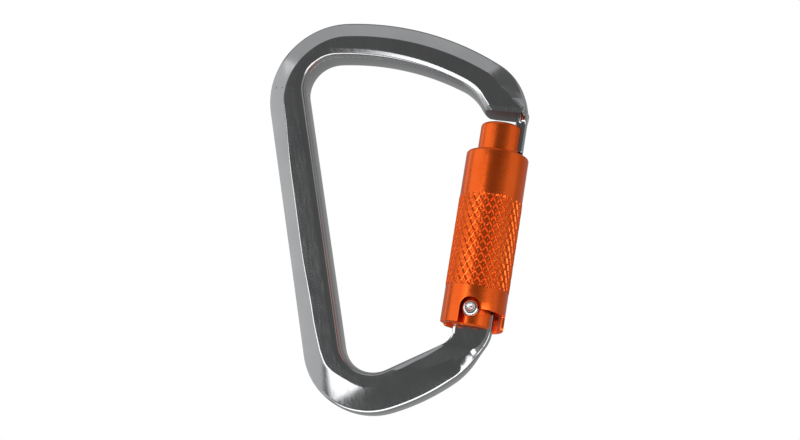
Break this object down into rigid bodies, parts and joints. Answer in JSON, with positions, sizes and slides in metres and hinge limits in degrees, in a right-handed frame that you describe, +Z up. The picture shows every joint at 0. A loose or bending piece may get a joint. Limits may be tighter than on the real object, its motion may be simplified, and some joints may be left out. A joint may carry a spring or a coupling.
{
  "type": "locking carabiner",
  "caption": "Offset-D locking carabiner with a knurled lift, twist and open sleeve on a sprung round gate, for rope and harness work.",
  "frame": {"origin": "the seat point inside the top bow, on the load line, in the middle of the bar's thickness", "axes": "+Z up the straight spine, +X from the spine towards the gate, -Y out of the front face with the rivet notch open to the left"},
  "size_m": [0.0741, 0.018, 0.1155],
  "materials": {
    "frame_metal": "polished grey anodised",
    "orange_anodised": "gloss orange anodised",
    "rivet_steel": "polished",
    "spring_steel": "drawn wire",
    "plain_aluminium": "machined"
  },
  "bodies": {
    "frame": {"frame": "frame_metal"},
    "gate": {"gate_barrel": "orange_anodised", "hinge_rivet": "rivet_steel", "gate_spring": "spring_steel", "sleeve_spring": "spring_steel", "spring_collar": "plain_aluminium", "retaining_ring": "spring_steel", "collar_key": "rivet_steel"},
    "plunger": {"gate_plunger": "rivet_steel"},
    "sleeve_carrier": {"thrust_washer": "rivet_steel"},
    "sleeve": {"locking_sleeve": "orange_anodised"}
  },
  "joints": [
    {"name": "gate_open", "type": "hinge", "parent": "frame", "child": "gate", "pos_m": [0.0286, 0, -0.0813], "axis": [0, -1, 0], "range_deg": [0, 24], "stiffness_Nm_per_rad": 0.06, "springref_deg": -34.38},
    {"name": "gate_plunge", "type": "slide", "parent": "gate", "child": "plunger", "axis": [0.3123, 0, 0.95], "range_m": [0, 0.0013], "deforming": ["gate_spring"]},
    {"name": "sleeve_lift", "type": "slide", "parent": "gate", "child": "sleeve_carrier", "axis": [0.3123, 0, 0.95], "range_m": [0, 0.005], "stiffness_N_per_m": 400, "springref_m": -0.006, "deforming": ["sleeve_spring"]},
    {"name": "sleeve_twist", "type": "hinge", "parent": "sleeve_carrier", "child": "sleeve", "pos_m": [0.0286, 0, -0.0813], "axis": [-0.3123, 0, -0.95], "range_deg": [0, 90], "stiffness_Nm_per_rad": 0.02, "springref_deg": -57.3}
  ],
  "couplings": [
    {"joint": "gate_plunge", "follows": "gate_open", "m_per_rad": 0.00305}
  ]
}
